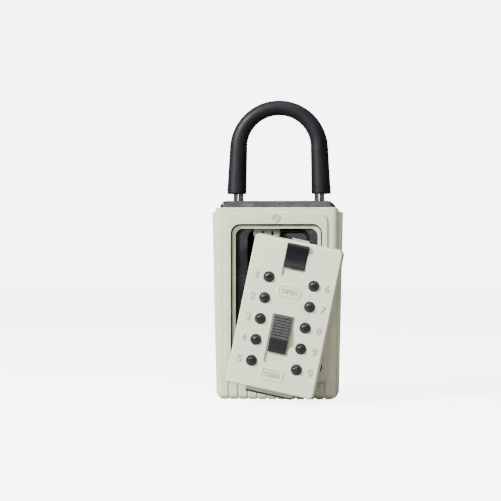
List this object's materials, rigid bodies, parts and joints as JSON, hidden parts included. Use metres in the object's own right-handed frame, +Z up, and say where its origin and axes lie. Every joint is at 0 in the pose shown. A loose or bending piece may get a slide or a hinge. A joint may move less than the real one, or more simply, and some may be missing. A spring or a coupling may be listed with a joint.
{
  "type": "key lock box",
  "caption": "Portable key lock box: jacketed box with a sleeved shackle, and a loose lid with a push-button keypad, an opening knob and a clearing knob.",
  "frame": {"origin": "centre of the housing footprint, on the surface the box stands on", "axes": "+Z up along the shackle, front towards -Y, +X to the right seen from the front"},
  "size_m": [0.0794, 0.0815, 0.1775],
  "materials": {
    "jacket_vinyl": "satin vinyl",
    "cream_paint": "fine satin powder coat",
    "black_paint": "gloss black paint over a casting",
    "zinc_steel": "zinc-plated sheet steel",
    "polished_steel": "polished and plated",
    "sleeve_vinyl": "matte vinyl",
    "bush_nylon": "moulded nylon",
    "slide_plastic": "moulded nylon",
    "black_steel": "black oxide",
    "knob_plastic": "gloss",
    "button_plastic": "gloss",
    "collar_plastic": "satin",
    "spring_steel": "drawn wire"
  },
  "bodies": {
    "body": {"jacket": "jacket_vinyl", "bezel_disc": "cream_paint", "latch_keeper": "zinc_steel", "housing": "black_paint", "back_plate": "zinc_steel", "back_plate_screws": "zinc_steel", "shackle_bushings": "bush_nylon", "release_spring": "spring_steel"},
    "lid_carrier": {"centre_rivet": "zinc_steel"},
    "lid": {"lid_cover": "cream_paint", "lock_case": "zinc_steel", "lock_case_screws": "zinc_steel", "tongue_plate": "black_steel", "guide_plate": "zinc_steel", "button_bushings": "collar_plastic", "open_spring": "spring_steel", "clear_spring": "spring_steel", "button_spring_1": "spring_steel", "button_spring_2": "spring_steel", "button_spring_3": "spring_steel", "button_spring_4": "spring_steel", "button_spring_5": "spring_steel", "button_spring_6": "spring_steel", "button_spring_7": "spring_steel", "button_spring_8": "spring_steel", "button_spring_9": "spring_steel", "button_spring_0": "spring_steel"},
    "opener": {"open_knob": "knob_plastic", "open_slide": "zinc_steel", "latch_bolt": "zinc_steel", "gate_plate": "zinc_steel"},
    "clearer": {"clear_knob": "knob_plastic", "clear_slide": "zinc_steel"},
    "shackle_bow": {"shackle": "polished_steel", "shackle_sleeve": "sleeve_vinyl", "heel_ring": "zinc_steel"},
    "release": {"release_slide": "slide_plastic", "locking_plate": "zinc_steel"},
    "key_1": {"button_1": "button_plastic"},
    "key_2": {"button_2": "button_plastic"},
    "key_3": {"button_3": "button_plastic"},
    "key_4": {"button_4": "button_plastic"},
    "key_5": {"button_5": "button_plastic"},
    "key_6": {"button_6": "button_plastic"},
    "key_7": {"button_7": "button_plastic"},
    "key_8": {"button_8": "button_plastic"},
    "key_9": {"button_9": "button_plastic"},
    "key_0": {"button_0": "button_plastic"}
  },
  "joints": [
    {"name": "lid_close", "type": "slide", "parent": "body", "child": "lid_carrier", "axis": [-0.224, 0.9397, 0.2584], "range_m": [0, 0.03192]},
    {"name": "lid_turn", "type": "hinge", "parent": "lid_carrier", "child": "lid", "pos_m": [0.00715, -0.0504, 0.05025], "axis": [0, -1, 0], "range_deg": [0, 11.87]},
    {"name": "open_press", "type": "slide", "parent": "lid", "child": "opener", "axis": [-0.2053, 0, -0.9787], "range_m": [0, 0.0047], "stiffness_N_per_m": 200, "springref_m": -0.005, "deforming": ["open_spring"]},
    {"name": "clear_press", "type": "slide", "parent": "lid", "child": "clearer", "axis": [-0.2053, 0, -0.9787], "range_m": [0, 0.0061], "stiffness_N_per_m": 150, "springref_m": -0.005, "deforming": ["clear_spring"]},
    {"name": "shackle_lift", "type": "slide", "parent": "body", "child": "shackle_bow", "axis": [0, 0, 1], "range_m": [0, 0.018]},
    {"name": "release_push", "type": "slide", "parent": "body", "child": "release", "axis": [1, 0, 0], "range_m": [0, 0.004], "stiffness_N_per_m": 250, "springref_m": -0.004, "deforming": ["release_spring"]},
    {"name": "button_1_press", "type": "slide", "parent": "lid", "child": "key_1", "axis": [0, 1, 0], "range_m": [0, 0.0022], "stiffness_N_per_m": 300, "springref_m": -0.002, "deforming": ["button_spring_1"]},
    {"name": "button_2_press", "type": "slide", "parent": "lid", "child": "key_2", "axis": [0, 1, 0], "range_m": [0, 0.0022], "stiffness_N_per_m": 300, "springref_m": -0.002, "deforming": ["button_spring_2"]},
    {"name": "button_3_press", "type": "slide", "parent": "lid", "child": "key_3", "axis": [0, 1, 0], "range_m": [0, 0.0022], "stiffness_N_per_m": 300, "springref_m": -0.002, "deforming": ["button_spring_3"]},
    {"name": "button_4_press", "type": "slide", "parent": "lid", "child": "key_4", "axis": [0, 1, 0], "range_m": [0, 0.0022], "stiffness_N_per_m": 300, "springref_m": -0.002, "deforming": ["button_spring_4"]},
    {"name": "button_5_press", "type": "slide", "parent": "lid", "child": "key_5", "axis": [0, 1, 0], "range_m": [0, 0.0022], "stiffness_N_per_m": 300, "springref_m": -0.002, "deforming": ["button_spring_5"]},
    {"name": "button_6_press", "type": "slide", "parent": "lid", "child": "key_6", "axis": [0, 1, 0], "range_m": [0, 0.0022], "stiffness_N_per_m": 300, "springref_m": -0.002, "deforming": ["button_spring_6"]},
    {"name": "button_7_press", "type": "slide", "parent": "lid", "child": "key_7", "axis": [0, 1, 0], "range_m": [0, 0.0022], "stiffness_N_per_m": 300, "springref_m": -0.002, "deforming": ["button_spring_7"]},
    {"name": "button_8_press", "type": "slide", "parent": "lid", "child": "key_8", "axis": [0, 1, 0], "range_m": [0, 0.0022], "stiffness_N_per_m": 300, "springref_m": -0.002, "deforming": ["button_spring_8"]},
    {"name": "button_9_press", "type": "slide", "parent": "lid", "child": "key_9", "axis": [0, 1, 0], "range_m": [0, 0.0022], "stiffness_N_per_m": 300, "springref_m": -0.002, "deforming": ["button_spring_9"]},
    {"name": "button_0_press", "type": "slide", "parent": "lid", "child": "key_0", "axis": [0, 1, 0], "range_m": [0, 0.0022], "stiffness_N_per_m": 300, "springref_m": -0.002, "deforming": ["button_spring_0"]}
  ],
  "couplings": [
    {"joint": "lid_turn", "follows": "lid_close", "rad_per_m": 6.4784}
  ]
}
